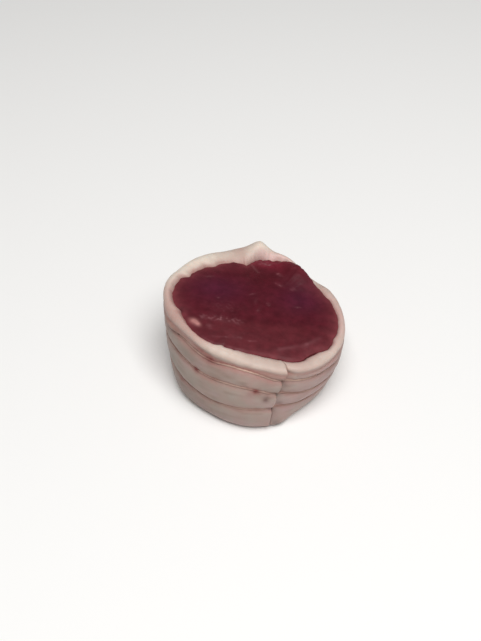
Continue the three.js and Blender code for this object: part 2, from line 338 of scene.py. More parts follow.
def node(tree, kind, inputs=None, **settings):
    """Adds a node with its settings, and a value or a link on each named or numbered input."""
    added = tree.nodes.new(kind)
    for name, value in settings.items():
        setattr(added, name, value)
    for key, value in (inputs or {}).items():
        if isinstance(value, bpy.types.NodeSocket):
            tree.links.new(value, added.inputs[key])
        else:
            added.inputs[key].default_value = value
    return added


def new_material(name):
    """An empty material, its node tree and its output node."""
    material = bpy.data.materials.new(name)
    material.use_nodes = True
    material.node_tree.nodes.clear()
    return material, material.node_tree, material.node_tree.nodes.new("ShaderNodeOutputMaterial")


# Raw muscle, cut across the grain with a knife. It gives a deep maroon with a damp sheen, broken
# by the ends of fibre bundles about 1.3 mm across, and turns redder where air reaches the edge.
# A greyer brown over the front of the face is a painted reflection, some pale marks are painted
# glints, and a dark tint is painted shade.
LEAN_DARK, LEAN_LIGHT = "#4c101a", "#551722"
LEAN_TINTS = (("violet", "#50182c"), ("sheen", "#5a1f26"), ("edge", "#7c3b40"),
              ("crimson", "#741a2c"), ("pale", "#946065"), ("fatty", "#ac7471"),
              ("shade", "#2c0c12"))
lean_finish, tree, output = new_material("raw_veal_muscle_cut_across")
place = node(tree, "ShaderNodeTexCoord").outputs["Object"]
cloud = node(tree, "ShaderNodeTexNoise",
             {"Vector": place, "Scale": 1 / (14 * MM), "Detail": 3.0}).outputs[0]
cloud = node(tree, "ShaderNodeMapRange",
             {"Value": cloud, "From Min": 0.35, "From Max": 0.65}).outputs[0]
tone = node(tree, "ShaderNodeMix", {0: cloud, 6: linear(LEAN_DARK), 7: linear(LEAN_LIGHT)},
            data_type="RGBA").outputs[2]
for mark, code in LEAN_TINTS:
    strength = node(tree, "ShaderNodeAttribute", attribute_name=mark).outputs["Fac"]
    tone = node(tree, "ShaderNodeMix",
                {0: strength, 6: tone, 7: linear(code)}, data_type="RGBA").outputs[2]
mottle = node(tree, "ShaderNodeTexNoise",
              {"Vector": place, "Scale": 1 / (3.4 * MM), "Detail": 3.0}).outputs[0]
mottle = node(tree, "ShaderNodeMapRange", {"Value": mottle, "From Min": 0.3, "From Max": 0.7,
                                           "To Min": 0.85, "To Max": 1.15}).outputs[0]
bundles = node(tree, "ShaderNodeTexVoronoi",
               {"Vector": place, "Scale": 1 / (1.3 * MM)}).outputs["Color"]
bundles = node(tree, "ShaderNodeSeparateColor", {0: bundles}).outputs[0]
bundles = node(tree, "ShaderNodeMapRange",
               {"Value": bundles, "To Min": 0.95, "To Max": 1.05}).outputs[0]
shade = node(tree, "ShaderNodeMath", {0: mottle, 1: bundles}, operation="MULTIPLY").outputs[0]
tone = node(tree, "ShaderNodeVectorMath", {0: tone, "Scale": shade}, operation="SCALE").outputs[0]
damp = node(tree, "ShaderNodeTexNoise",
            {"Vector": place, "Scale": 1 / (4.5 * MM), "Detail": 2.0}).outputs[0]
damp = node(tree, "ShaderNodeMapRange", {"Value": damp, "From Min": 0.35, "From Max": 0.65,
                                         "To Min": 0.42, "To Max": 0.58}).outputs[0]
dry_edge = node(tree, "ShaderNodeAttribute", attribute_name="edge").outputs["Fac"]
damp = node(tree, "ShaderNodeMath", {0: dry_edge, 1: 0.3, 2: damp}, operation="MULTIPLY_ADD",
            use_clamp=True).outputs[0]
grain = node(tree, "ShaderNodeTexNoise",
             {"Vector": place, "Scale": 1 / (1.3 * MM), "Detail": 2.0}).outputs[0]
normal = node(tree, "ShaderNodeBump",
              {"Strength": 0.45, "Distance": 0.12 * MM, "Height": grain}).outputs[0]
shader = node(tree, "ShaderNodeBsdfPrincipled",
              {"Base Color": tone, "Roughness": damp, "Normal": normal, "IOR": 1.38,
               "Specular IOR Level": 0.28})
tree.links.new(shader.outputs[0], output.inputs[0])

# The grid runs out over the lower face, up the side inside the wrap, up the bare brim from the
# wrap to the edge of the face, and in over the face, and a point closes each end.
turns = np.arange(LEAN_STEPS_ROUND) * 360 / LEAN_STEPS_ROUND
floor_outs = np.linspace(0.05, 0.97, FLOOR_ROWS)
side_rows = np.linspace(0, 1, LEAN_SIDE_ROWS)
face_outs = 1 - np.linspace(0, 1, FACE_ROWS, endpoint=False) ** FACE_ROWS_CROWD
side_heights = side_rows[:, None] * inner_top(turns)
side_radii = inner_radius(turns, side_heights) + PRESSED
face_radii = face_outs[:, None] * (face_radius(turns) + PRESSED)
brim_rows = np.linspace(0, 1, BRIM_ROWS + 2)[1:-1, None]
brim_rise = face_height(turns, 1.0) - side_heights[-1]
brim_heights = side_heights[-1] + brim_rows * brim_rise
brim_lumps = SWELL_BULGE + BRIM_LUMP * soft_noise(turns * BRIM_ARC, brim_heights, BRIM_LUMP_SIZE, 9,
                                                  closed=360 * BRIM_ARC)
brim_swell = np.clip(brim_rise, 0, BRIM_RISE_LIMIT) * np.sin(np.pi * brim_rows)
brim_radii = face_radii[0] + brim_lumps * brim_swell
lean_radii = np.concatenate([floor_outs[:, None] * side_radii[0], side_radii, brim_radii,
                             face_radii])
lean_heights = np.concatenate([np.zeros((FLOOR_ROWS, LEAN_STEPS_ROUND)), side_heights, brim_heights,
                               face_height(turns, face_outs[:, None])])
lean_points = polar_to_metres(lean_radii, turns, lean_heights).reshape(-1, 3)
bottom, top = len(lean_points), len(lean_points) + 1
last = (len(lean_radii) - 1) * LEAN_STEPS_ROUND
here = np.arange(LEAN_STEPS_ROUND)
beside = (here + 1) % LEAN_STEPS_ROUND
lean_faces = [ring_quads(len(lean_radii), LEAN_STEPS_ROUND),
              np.stack([beside, here, np.full_like(here, bottom)], -1),
              np.stack([last + here, last + beside, np.full_like(here, top)], -1)]
poles = polar_to_metres(np.zeros(2), 0, np.array([0, face_height(0.0, 0.0)]))
lean_points = np.concatenate([lean_points, poles])

x, y = (lean_points[:, :2] / MM - AXIS).T
angle = np.degrees(np.arctan2(y, x)) % 360
from_edge = np.maximum(face_radius(angle) - np.hypot(x, y), 0)
patchy = 0.5 + 0.5 * soft_noise(x, y, 3.5, 41)
flecked = smooth(soft_noise(0.8 * x + 0.6 * y, 0.8 * y - 0.6 * x, 0.8, 42), -0.1, 0.7)
on_face = smooth(lean_points[:, 2] / MM, MARKS_FROM, MARKS_FULL)
painted_sheen_ring = smooth(np.hypot(x, y), SHEEN_PAINT_LESS_FROM, SHEEN_PAINT_LEAST)
edge_left = 1 - sum(part * hill(angle, at, width) for at, width, part in EDGE_WEAKER)
# Pale specks, with painted glints among them.
specks_and_glints = (0.2 + 0.5 * flecked) * face_spots(x, y, SPECKS_AND_GLINTS)
pale_ledge = (0.08 + 0.3 * flecked) * face_lines(x, y, LEDGE, LEDGE_MARK_HALF_WIDTH)
pale_ridge = 0.25 * patchy * face_lines(x, y, RIDGE, RIDGE_MARK_HALF_WIDTH)
pale_sinew = 0.4 * patchy * near_line(x, y, *SINEW)
# How strongly each tint of the material shows at each point, from 0 to 1.
lean_marks = {
    "violet": 0.9 * np.clip(face_spots(x, y, VIOLET), 0, 1),
    # Painted sheen: a greyer brown over the front of the face, standing for a reflection.
    "sheen": 0.9 * smooth(-y, SHEEN_PAINT_FROM, SHEEN_PAINT_FULL) * (1 - 0.5 * painted_sheen_ring),
    "edge": np.exp(-from_edge / EDGE_FADE) * (0.55 + 0.45 * patchy) * edge_left,
    "crimson": (0.45 + 0.55 * patchy) * np.clip(face_spots(x, y, CRIMSON), 0, 1),
    "pale": on_face * np.clip(specks_and_glints + pale_ledge + pale_ridge + pale_sinew, 0, 1),
    "fatty": on_face * np.clip(0.95 * face_spots(x, y, FLECKS) ** 1.4, 0, 1),
    "shade": on_face * face_spots(x, y, SHADE),
}
lean = build_mesh("lean_veal", lean_points, lean_faces, lean_marks, lean_finish)
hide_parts("meat")
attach(lean, "root")

# ---------------------------------------------------------------------------------------------
# The strip of barding fat. One sheet of firm white back fat, wrapped round the lean and butted
# end to end at the front. Its top edge rolls over the lean, and the string pinches it in.
# ---------------------------------------------------------------------------------------------

# Heights of the three turns of string at equal turns, from the lowest up.
STRING_HEIGHTS = [[10.5, 10.7, 11.0, 11.2, 11.5, 11.8, 12.0, 12.2, 12.5, 12.8, 13.0, 13.1,
                   13.3, 13.6, 13.6, 12.7, 11.8, 12.9, 13.9, 13.2, 11.5, 10.4, 10.3, 10.3],
                  [14.5, 15.0, 15.5, 16.2, 17.0, 18.2, 19.5, 20.6, 21.5, 22.1, 22.5, 22.8,
                   23.3, 24.3, 25.0, 24.5, 23.9, 24.1, 23.5, 21.0, 18.0, 16.3, 15.3, 14.8],
                  [22.0, 21.6, 21.5, 22.0, 23.0, 25.1, 27.0, 28.2, 29.0, 29.6, 30.0, 30.2,
                   30.6, 31.8, 32.6, 31.8, 31.0, 31.3, 30.1, 27.3, 25.2, 23.8, 22.3, 22.2]]
# The roll: the height of its band, where its crest lies between outside (0) and inside (1), and
# how much of the step at the seam runs over it, outwards and upwards.
RIM_BAND, RIM_CREST, RIM_STEP, RIM_STEP_UP = 3.3, 0.4, 0.55, 0.35
ROLL_REACH_POWER = 0.9
ROLL_BULGE, ROLL_BULGE_FULL = 0.55, 30
CREST_WAVES, CREST_WAVE_SIZE = 0.15, 7
# Where the roll is deeper or shallower than its band: angle, half width in degrees, depth in mm.
BAND_WAVES = [(246, 15, 0.8), (276, 8, -0.35), (186, 12, 0.9)]
# The curve from the crest down to the lean starts this many degrees past the crest.
BROW_POWER, BROW_POWER_AT_TIP, BROW_START = 1.8, 1.15, 4
# Depths and half widths of what the string presses in, and of the crease under the roll.
BED_DEPTH, BED_HALF_WIDTH = 0.32, 0.8
VALLEY_DEPTH, VALLEY_HALF_WIDTH, VALLEY_VARIES, VALLEY_VARIES_SIZE = 0.55, 1.8, 0.35, 13
UNDER_ROLL_DEPTH, UNDER_ROLL_HALF_WIDTH = 0.4, 1.0
BAND_SWELL = 0.2
# Puckers beside each string: height, length along the string, stretch up and down, how far from
# the string they lie and over what half width.
PUCKER_UP, PUCKER_SIZE, PUCKER_STRETCH, PUCKER_AT, PUCKER_HALF_WIDTH = 0.09, 1.9, 0.3, 1.1, 0.8
WALL_WAVES, WALL_WAVE_SIZE = 0.26, 10
WALL_RIPPLES, WALL_RIPPLE_SIZE = 0.05, 2.6
# The seam: its angle at the foot, how far and how sharply it leans, and where the string pulls
# it back.
SEAM_FOOT, SEAM_LEAN, SEAM_BEND, SEAM_STRAIGHT_FROM = 279.5, 13.8, 2.5, 0.92
SEAM_PINCHES, SEAM_PINCH, SEAM_PINCH_WIDTH = (0.41, 0.65, 0.83), 0.9, 0.05
# The step there: how far in mm, and over how many degrees, one end stands proud and the other
# lies sunk and tucked in. At the foot these parts of it are left, and it is full at this share.
SEAM_PROUD, SEAM_PROUD_WIDTH = 0.7, 14
SEAM_SUNK, SEAM_SUNK_WIDTH = 0.7, 16
SEAM_TUCK, SEAM_TUCK_WIDTH = 1.1, 3.6
PROUD_AT_FOOT, SUNK_AT_FOOT, STEP_FULL_FROM = 0.4, 0.1, 0.25
STRING_BLUR = 7
SEAM_GAP, END_ROUND, END_ROUND_INSIDE = 0.14, 0.6, 0.2
COLUMN_STEP = 0.36
CREASE_START, CREASE_END = 5, 9
# Creases that the wrap folds into: from and to an angle and height, then depth and half width.
CREASES = [((294, 27.6), (338, 26.0), 0.5, 0.6), ((281, 16.0), (306, 15.6), 0.2, 0.5),
           ((198, 34.6), (246, 33.2), 0.3, 0.5), ((284, 11.2), (312, 8.6), 0.2, 0.6),
           ((205, 10.4), (236, 9.0), 0.22, 0.7), ((20, 18.5), (58, 20.2), 0.2, 0.6),
           ((118, 32.5), (160, 33.4), 0.25, 0.6)]
# Dents, and swellings where the depth is negative: angle, height, half length, half height and
# depth in millimetres. The second is a small pit with a dark bottom.
DENTS = [(291.5, 29.4, 1.9, 1.0, 0.5), (276.5, 19.6, 1.3, 1.3, 0.4), (285, 14.8, 1.2, 1.2, 0.5),
         (285.5, 1.5, 4.6, 4.5, -1.6), (198, 33.4, 6.0, 1.8, -1.2), (60, 14.5, 6.0, 2.4, 0.35),
         (140, 17.5, 7.0, 3.0, 0.4), (350, 6.0, 5.0, 2.6, 0.35)]
# Marks in the fat: angle, height, half length and half height in millimetres, and strength.
BLOOD = [(229, 33.2, 4.5, 1.0, 0.42), (237.8, 31.4, 4.0, 1.3, 0.78), (228.5, 24.6, 1.5, 1.3, 1.0),
         (270.5, 23.2, 1.4, 0.9, 1.0), (266, 21.8, 1.8, 1.0, 0.22), (215, 12.9, 1.8, 1.0, 0.4),
         (205, 33.0, 2.4, 1.4, 0.35), (100, 24.0, 1.6, 1.2, 0.7), (42, 17.5, 1.3, 1.0, 0.6),
         (160, 15.0, 1.2, 1.5, 0.5), (325, 31.0, 0.7, 0.6, 0.35)]
# These spots are painted shade: darker low on the left and under the overhanging rim there, beside
# the dents, under the roll and on the sunk side of the seam.
PAINTED_SHADE = [(228, 4.0, 16, 5.5, 0.33), (213, 9.0, 7, 4.5, 0.3), (228, 28.4, 13, 2.6, 0.15),
        (277, 25.0, 4, 4.5, 0.2), (287.5, 24, 2.2, 3.5, 0.3), (291, 29.0, 2.4, 1.0, 0.3),
        (285, 14.8, 1.4, 1.2, 0.4), (283.5, 3, 2, 3, 0.4)]
# These spots give the wall a grey-green tone; the first, on the band under the roll at the left, is
# also painted shade under the overhanging rim.
GREY = [(217, 28.4, 8, 2.8, 0.6), (224, 18, 12, 4, 0.3), (204, 18, 7, 5, 0.4), (262, 17, 9, 3, 0.3),
        (150, 26, 10, 4, 0.4), (75, 8, 12, 4, 0.4), (20, 27, 8, 3, 0.3), (165, 7, 10, 4, 0.35)]
# These spots are painted light in a paler cream: a highlight along the front rim and brighter
# patches on the inner slopes at the back, at the tip and on the right, where the rim faces the
# lamp.
PAINTED_LIGHT = [(135, 38, 24, 3.5, 0.9), (160, 38.5, 8, 2, 0.5), (80, 37, 7, 3.5, 0.8),
         (257, 36.5, 12, 1.2, 0.5), (324, 31.5, 10, 3, 0.55)]
# These spots tint the rim a pinkish white; on the tip and on the rim at the right front they are
# also painted light, brightening slopes that face away from the lamp.
PALE_PINK_AND_LIGHT = [(15, 29, 18, 4.0, 0.3), (175, 38.5, 14, 3.0, 0.3), (68, 34, 10, 4.5, 1.0),
         (82, 35, 5, 3.0, 0.8), (318, 32, 12, 2.5, 0.8), (345, 31, 10, 3.0, 0.6),
         (240, 34, 26, 3.0, 0.6)]
MAUVE = [(312, 16, 16, 12, 0.6), (262, 4, 12, 4, 0.3), (190, 12, 8, 5, 0.3), (108, 13, 14, 7, 0.4),
         (45, 20, 8, 5, 0.4), (192, 38.5, 18, 4, 0.25), (5, 27.5, 14, 3, 0.25)]
# These spots tint the rim pink; the one in the hollow left of the tip is painted shade, and the one
# on the left rim is pink tone and painted shade together.
PINK_AND_PAINTED_SHADE = [(101, 36, 4, 3.5, 0.35), (198, 38.5, 14, 3.0, 0.4), (305, 31.5, 14, 2.5, 0.1),
         (345, 30.5, 20, 3.0, 0.05)]
# The pit in the second dent is darkened this strongly.
PIT = [(*DENTS[1][:4], 0.8)]
# The wall unrolled: millimetres to a degree at a middling radius, and the whole way round.
WALL_ARC = np.radians(35.0)
ROUND_LENGTH = 360 * WALL_ARC
# Rows between foot, strings and roll, and how far they close up there. Then the turns in
# degrees at which the rows of the roll lie.
WALL_SPANS = (14, 14, 12, 10)
ROWS_CLOSE_UP = 0.6
ROLL_TURNS = np.linspace(0, 90, 12)


def roll_foot(angle):
    """The height at which the roll starts."""
    deeper = sum(depth * hill(angle, at, width) for at, width, depth in BAND_WAVES)
    return rim_height(angle) - RIM_BAND - deeper


def seam_angle(share):
    """Where the ends meet: a curve that leans to the right as it rises, straight over the roll,
    and pulled back a little where the string pinches it."""
    pinches = sum(np.exp(-((share - at) / SEAM_PINCH_WIDTH) ** 2) for at in SEAM_PINCHES)
    lean_over = SEAM_LEAN * np.clip(share, 0, SEAM_STRAIGHT_FROM) ** SEAM_BEND
    return SEAM_FOOT + lean_over - SEAM_PINCH * pinches


def seam_step(angle, share, blur=0.0):
    """How far the ends of the strip stand out before the seam and lie back after it. The step is
    less at the foot, and a blur in degrees turns it into a ramp, as the taut string has."""
    past = angle_from(seam_angle(share), angle)
    before, after = np.minimum(past, 0), np.maximum(past, 0)
    sunk = (SEAM_SUNK * np.exp(-after / SEAM_SUNK_WIDTH)
            + SEAM_TUCK * np.exp(-after / SEAM_TUCK_WIDTH))
    proud = SEAM_PROUD * np.exp(before / SEAM_PROUD_WIDTH)
    beyond = smooth(past, -blur, blur) if blur else past >= 0
    rise = smooth(share, 0, STEP_FULL_FROM)
    proud = proud * (1 - beyond) * (PROUD_AT_FOOT + (1 - PROUD_AT_FOOT) * rise)
    return proud - sunk * beyond * (SUNK_AT_FOOT + (1 - SUNK_AT_FOOT) * rise)


def string_distances(angle, height):
    """How far a place on the wall lies above each turn of string, in millimetres."""
    return [height - around(heights, angle) for heights in STRING_HEIGHTS]


def wall_noise(angle, height, size, seed):
    """Smooth noise on the unrolled wall, in millimetres, that closes up all the way round."""
    return soft_noise(angle % 360 * WALL_ARC, height, size, seed, closed=ROUND_LENGTH)


def wall_spots(angle, height, spots):
    """The sum of strength times exp(-reach^2) of each oval mark on the unrolled wall."""
    return sum(strength * np.exp(-(angle_from(at, angle) * WALL_ARC / half_long) ** 2
                                 - ((height - up) / half_tall) ** 2)
               for at, up, half_long, half_tall, strength in spots)


def wall_relief(angle, height):
    """What is added to the plain wall: full bands between valleys, the narrow bed of each turn
    of string, the step at the seam, creases, puckers beside the string, and dents."""
    share = height / rim_height(angle)
    relief, calm = BAND_SWELL, 1.0
    for turn, away in enumerate(string_distances(angle, height)):
        bed = np.exp(-(away / BED_HALF_WIDTH) ** 2)
        calm = calm * (1 - bed)
        pull = 1 + VALLEY_VARIES * wall_noise(angle, 0 * away, VALLEY_VARIES_SIZE, 50 + turn)
        valley = VALLEY_DEPTH * pull * np.exp(-(away / VALLEY_HALF_WIDTH) ** 2)
        relief = relief - BED_DEPTH * bed - valley
        pucker = wall_noise(angle, away * PUCKER_STRETCH, PUCKER_SIZE, 20 + turn)
        beside = np.exp(-((np.abs(away) - PUCKER_AT) / PUCKER_HALF_WIDTH) ** 2)
        relief = relief + PUCKER_UP * pucker * beside
    for (start, low), (end, high), depth, half_width in CREASES:
        line = low + (high - low) * (angle - start) / (end - start)
        started = smooth(angle, start, start + CREASE_START)
        inside = started * (1 - smooth(angle, end - CREASE_END, end))
        relief = relief - depth * inside * np.exp(-((height - line) / half_width) ** 2)
    past_roll = (height - roll_foot(angle)) / UNDER_ROLL_HALF_WIDTH
    relief = relief - UNDER_ROLL_DEPTH * np.exp(-past_roll ** 2)
    relief = relief + calm * seam_step(angle, share)
    relief = relief + (1 - calm) * seam_step(angle, share, STRING_BLUR)
    relief = relief - calm * wall_spots(angle, height, DENTS)
    relief = relief + WALL_WAVES * wall_noise(angle, height, WALL_WAVE_SIZE, 11)
    return relief + calm * WALL_RIPPLES * wall_noise(angle, height, WALL_RIPPLE_SIZE, 12)


def fat_radius(angle, height):
    """The outside of the wrap with its relief."""
    return wall_radius(angle, height) + wall_relief(angle, height)


def wall_rows(angle):
    """Heights of the wall's rows from foot to roll, for an array of angles with a column for
    each row. They close up towards each turn of string as (1 - cos(pi f)) / 2."""
    keys = np.stack([0 * angle] + [around(heights, angle) for heights in STRING_HEIGHTS]
                    + [roll_foot(angle)])
    even = [np.arange(count) / count for count in WALL_SPANS[:-1]]
    even.append(np.linspace(0, 1, WALL_SPANS[-1] + 1))
    share = np.concatenate([(1 - ROWS_CLOSE_UP) * f + ROWS_CLOSE_UP * (1 - np.cos(np.pi * f)) / 2
                            for f in even])
    span = np.repeat(range(len(even)), [len(f) for f in even])
    row = np.arange(len(share))
    return keys[span, :, row].T * (1 - share) + keys[span + 1, :, row].T * share


WALL_ROWS = sum(WALL_SPANS) + 1
SIDE_ROWS = WALL_ROWS + len(ROLL_TURNS) - 1


def roll_share(angle):
    """The share of the height of each row of the roll, from its foot to the crest."""
    lift = np.sin(np.radians(ROLL_TURNS[1:]))
    return 1 - (1 - roll_foot(angle) / rim_height(angle)) * (1 - lift)


def strip_section(angle):
    """Radii and heights of the strip, for an array of angles with a column for each row of the
    section: up the wall, over the rim on a quarter ellipse, down to the lean on a flatter
    curve, sin(angle)^power, and down the inside."""
    wall, roll = slice(0, WALL_ROWS), slice(WALL_ROWS, SIDE_ROWS)
    brow, inside = slice(SIDE_ROWS, -WALL_ROWS), slice(-WALL_ROWS, None)
    share = np.ones(angle.shape)
    share[:, roll] = roll_share(angle[:, roll])
    step = RIM_STEP * seam_step(angle, share)
    waves = CREST_WAVES * wall_noise(angle, 0 * angle, CREST_WAVE_SIZE, 13)
    top = rim_height(angle) + RIM_STEP_UP * step + waves
    foot_of_roll = roll_foot(angle)
    meets_lean = inner_top(angle)
    inner = inner_radius(angle, meets_lean)
    outer = fat_radius(angle, foot_of_roll)
    full = wall_radius(angle, rim_height(angle)) + step
    crest = full * (1 - RIM_CREST) + inner * RIM_CREST
    radii, heights = np.empty(angle.shape), np.empty(angle.shape)
    heights[:, wall] = wall_rows(angle[:, wall])
    radii[:, wall] = fat_radius(angle[:, wall], heights[:, wall])
    up = np.radians(ROLL_TURNS[1:])
    bulge = ROLL_BULGE * np.sin(2 * up) ** 2 * smooth(ROLL_TURNS[1:], 0, ROLL_BULGE_FULL)
    reach = np.cos(up) ** ROLL_REACH_POWER
    radii[:, roll] = crest[:, roll] + (outer - crest)[:, roll] * reach + bulge
    heights[:, roll] = foot_of_roll[:, roll] + (top - foot_of_roll)[:, roll] * np.sin(up)
    down = np.radians(ROLL_TURNS[:0:-1] - BROW_START)
    plainer = np.clip(tip(angle) ** 0.5 + hill(angle, **HIGH_SIDE), 0, 1)[:, brow]
    power = BROW_POWER + (BROW_POWER_AT_TIP - BROW_POWER) * plainer
    radii[:, brow] = crest[:, brow] - (crest - inner)[:, brow] * np.cos(down)
    heights[:, brow] = meets_lean[:, brow] + (top - meets_lean)[:, brow] * np.sin(down) ** power
    back_down = wall_rows(angle[:, inside][:, ::-1])[:, ::-1]
    heights[:, inside] = back_down * (meets_lean / foot_of_roll)[:, inside]
    radii[:, inside] = inner_radius(angle[:, inside], heights[:, inside])
    return radii, heights


# Raw back fat, skinned and sliced. It gives a waxy, creamy white, a little see-through, cleaner on
# the cut rim, and pink where it lies on the lean and where blood has run in under the string.
# Some tints are painted light and shade: paler painted light on slopes of the rim, and painted
# shade low on the left, under the roll, in the string valleys and beside the seam.
FAT_COOL, FAT_WARM = "#a5968c", "#a88e86"
FAT_TINTS = (("grain", "#8b776c"), ("rim", "#c9b5a9"), ("cream", "#e7dbcc"), ("grey", "#8d867a"),
             ("mauve", "#b19594"), ("dusk", "#54463f"), ("pink", "#ab7d73"), ("raw", "#a06864"),
             ("blush", "#dfbfb8"), ("blood", "#743431"), ("pit", "#65453f"))
fat_finish, tree, output = new_material("raw_back_fat_waxy")
place = node(tree, "ShaderNodeTexCoord").outputs["Object"]
cloud = node(tree, "ShaderNodeTexNoise",
             {"Vector": place, "Scale": 1 / (9 * MM), "Detail": 3.0}).outputs[0]
cloud = node(tree, "ShaderNodeMapRange",
             {"Value": cloud, "From Min": 0.35, "From Max": 0.65}).outputs[0]
blotch = node(tree, "ShaderNodeTexNoise",
              {"Vector": place, "Scale": 1 / (3 * MM), "Detail": 3.0}).outputs[0]
blotch = node(tree, "ShaderNodeMapRange", {"Value": blotch, "From Min": 0.3, "From Max": 0.7,
                                           "To Min": 0.7, "To Max": 1.3}).outputs[0]
tone = node(tree, "ShaderNodeMix", {0: cloud, 6: linear(FAT_COOL), 7: linear(FAT_WARM)},
            data_type="RGBA").outputs[2]
for mark, code in FAT_TINTS:
    strength = node(tree, "ShaderNodeAttribute", attribute_name=mark).outputs["Fac"]
    strength = node(tree, "ShaderNodeMath", {0: strength, 1: blotch}, operation="MULTIPLY",
                    use_clamp=True).outputs[0]
    tone = node(tree, "ShaderNodeMix",
                {0: strength, 6: tone, 7: linear(code)}, data_type="RGBA").outputs[2]
grain = node(tree, "ShaderNodeTexNoise",
             {"Vector": place, "Scale": 1 / (1.1 * MM), "Detail": 3.0}).outputs[0]
normal = node(tree, "ShaderNodeBump",
              {"Strength": 0.35, "Distance": 0.1 * MM, "Height": grain}).outputs[0]
shader = node(tree, "ShaderNodeBsdfPrincipled", {
    "Base Color": tone, "Roughness": 0.5, "Normal": normal, "IOR": 1.45, "Specular IOR Level": 0.4,
    "Subsurface Weight": 0.15, "Subsurface Radius": (1.0, 0.6, 0.45), "Subsurface Scale": 1.5 * MM})
tree.links.new(shader.outputs[0], output.inputs[0])

# The grid's columns are sections that all lean like the seam, from one end of the strip round to
# the other. A row's share at the seam and its lean there depend on each other, so the shares
# are worked out a few times over.
SHARE_ROUNDS = 4
NEAR_END = np.array([0, 0.04, 0.1, 0.18, 0.3, 0.45, 0.65, 0.9, 1.2, 1.6])
rows = 2 * SIDE_ROWS
section_shares = np.ones(rows)
for _ in range(SHARE_ROUNDS):
    at_seam = seam_angle(section_shares)[None, :]
    section_heights = strip_section(at_seam)[1][0]
    section_shares = np.concatenate([(section_heights / rim_height(at_seam[0]))[:WALL_ROWS],
                                     roll_share(at_seam[:, WALL_ROWS:SIDE_ROWS])[0],
                                     np.ones(len(ROLL_TURNS) - 1),
                                     section_heights[-WALL_ROWS:] / section_heights[-WALL_ROWS]])
span = ROUND_LENGTH - SEAM_GAP
run = np.concatenate([NEAR_END, np.arange(2.0, span - 2.0, COLUMN_STEP), span - NEAR_END[::-1]])
columns = len(run)
turned = 360 - (run + SEAM_GAP / 2) / WALL_ARC
strip_angles = (turned[:, None] + seam_angle(section_shares)[None, :]) % 360
strip_radii, strip_heights = strip_section(strip_angles)
# Both ends are rounded off by a quarter circle: inwards on the wall, downwards on the crest, and
# a little outwards on the inside.
to_end = np.minimum(run, span - run)[:, None]
rounding = END_ROUND * (1 - np.sqrt(1 - np.clip(1 - to_end / END_ROUND, 0, 1) ** 2))
roll_turns, brow_turns = np.radians(ROLL_TURNS[1:]), np.radians(ROLL_TURNS[:0:-1])
inward = np.concatenate([np.ones(WALL_ROWS), np.cos(roll_turns),
                         -END_ROUND_INSIDE * np.cos(brow_turns),
                         np.full(WALL_ROWS, -END_ROUND_INSIDE)])
downward = np.concatenate([np.zeros(WALL_ROWS), np.sin(roll_turns), np.sin(brow_turns),
                           np.zeros(WALL_ROWS)])
strip_radii, strip_heights = strip_radii - rounding * inward, strip_heights - rounding * downward
strip_points = polar_to_metres(strip_radii, strip_angles, strip_heights).reshape(-1, 3)
ladder = np.arange(SIDE_ROWS - 1)
first_end = np.stack([ladder, ladder + 1, rows - 2 - ladder, rows - 1 - ladder], -1)
strip_faces = [ring_quads(columns, rows), first_end[:, ::-1], first_end + (columns - 1) * rows]

# How strongly each tint of the material shows at each point, from 0 to 1. Lengths that a tint
# fades over are in millimetres.
RIM_TINT_FROM, RIM_TINT_TO = 0.3, 1.2
STRING_STAIN_AND_SHADE_FADE, SHADE_UNDER_ROLL_FADE, PALE_PINK_AND_LIGHT_FADE, PINK_FADE, RAW_FADE = 1.3, 1.0, 3, 2.6, 1.05
SEAM_SHADOW, SEAM_SHADOW_FADE, SEAM_SHADOW_FROM, SEAM_SHADOW_FULL = 0.17, 4, 3, 12
FRONT = dict(at=275, width=65)
# Where the lean's juice shows more at the inside of the rim: angle, half width and part added.
RAWER = [(228, 14, 0.6), (325, 9, 0.6)]
roll_feet, rim_tops = roll_foot(strip_angles), rim_height(strip_angles)
up_roll = smooth(strip_heights, roll_feet - RIM_TINT_FROM, rim_tops - RIM_TINT_TO)
on_outside = np.arange(rows)[None, :] < SIDE_ROWS
on_top = np.where(on_outside, smooth(up_roll, 0.9, 1.0), 1.0)
from_lean = np.maximum(strip_radii - face_radius(strip_angles), 0)
streaks = 0.5 + 0.5 * wall_noise(strip_angles, strip_heights, 2.2, 31)
wide_streaks = 0.5 + 0.5 * wall_noise(strip_angles, strip_heights * 2, 9, 32)
grey_streaks = smooth(wall_noise(strip_angles, strip_heights * 1.5, 12, 33), -0.1, 0.8)
mauve_streaks = smooth(wall_noise(strip_angles, strip_heights * 2, 7, 34), 0, 0.8)
fine_streaks = smooth(wall_noise(strip_angles, strip_heights * 5, 6, 35), 0, 0.9)
# Near each string: partly juice stain and partly painted shade in the valley the string presses in.
string_stain_and_shade = sum(np.exp(-(away / STRING_STAIN_AND_SHADE_FADE) ** 2)
            for away in string_distances(strip_angles, strip_heights))
# Painted shade under the roll, where it overhangs the wall.
shade_under_roll = np.exp(-((strip_heights - roll_feet + 0.1) / SHADE_UNDER_ROLL_FADE) ** 2)
past_seam = angle_from(seam_angle(section_shares), strip_angles)
seam_shadow = SEAM_SHADOW * (past_seam >= 0) * (1 - 0.8 * up_roll)
seam_shadow = seam_shadow * smooth(strip_heights, SEAM_SHADOW_FROM, SEAM_SHADOW_FULL)
seam_shadow = seam_shadow * np.exp(-np.maximum(past_seam, 0) / SEAM_SHADOW_FADE)
pink_top = 0.3 * on_top * np.exp(-(from_lean / PINK_FADE) ** 2) * (0.5 + wide_streaks)
pink_stain_and_shade_wall = on_outside * (0.4 * string_stain_and_shade * (0.4 + 0.9 * wide_streaks) + 0.55 * shade_under_roll)
raw_top = on_top * np.exp(-(from_lean / RAW_FADE) ** 2) * (0.6 + 0.6 * streaks)
raw_top = raw_top * (0.55 + 0.45 * hill(strip_angles, **FRONT))
